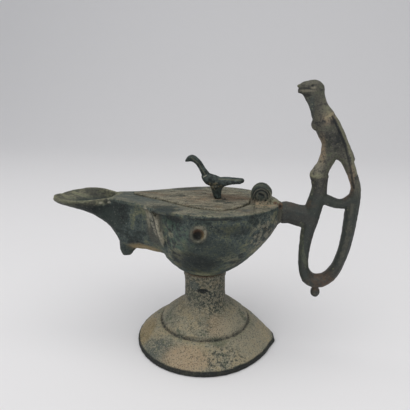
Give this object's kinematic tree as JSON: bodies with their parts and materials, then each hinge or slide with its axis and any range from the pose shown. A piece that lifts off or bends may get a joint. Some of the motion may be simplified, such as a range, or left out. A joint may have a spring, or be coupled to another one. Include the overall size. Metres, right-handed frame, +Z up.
{
  "type": "oil lamp",
  "caption": "Footed bronze oil lamp with a dished spout, a hinged leaf-shaped lid topped by a small bird, and an openwork handle ending in a perched bird.",
  "frame": {"origin": "on the ground under the middle of the lamp's box, spout to handle", "axes": "+X from the spout to the handle, +Z up, +Y to the lamp's left as seen from the handle"},
  "size_m": [0.2004, 0.093, 0.1732],
  "materials": {
    "bowl_bronze": "dark green-grey corroded cast bronze, matt",
    "foot_bronze": "pitted brown-grey cast bronze with tan deposits, matt",
    "handle_bronze": "dark grey-green cast bronze with worn brown faces",
    "lid_bronze": "tan and brown corroded bronze, matt",
    "dark_bronze": "near-black smooth bronze"
  },
  "bodies": {
    "lamp": {"reservoir": "bowl_bronze", "foot": "foot_bronze", "handle": "handle_bronze", "hinge_pin": "dark_bronze"},
    "lid": {"lid": "lid_bronze", "lid_bird": "dark_bronze"}
  },
  "joints": [
    {"name": "lid_hinge", "type": "hinge", "parent": "lamp", "child": "lid", "pos_m": [0.04098, 0, 0.1047], "axis": [0, 1, 0], "range_deg": [0, 85]}
  ]
}
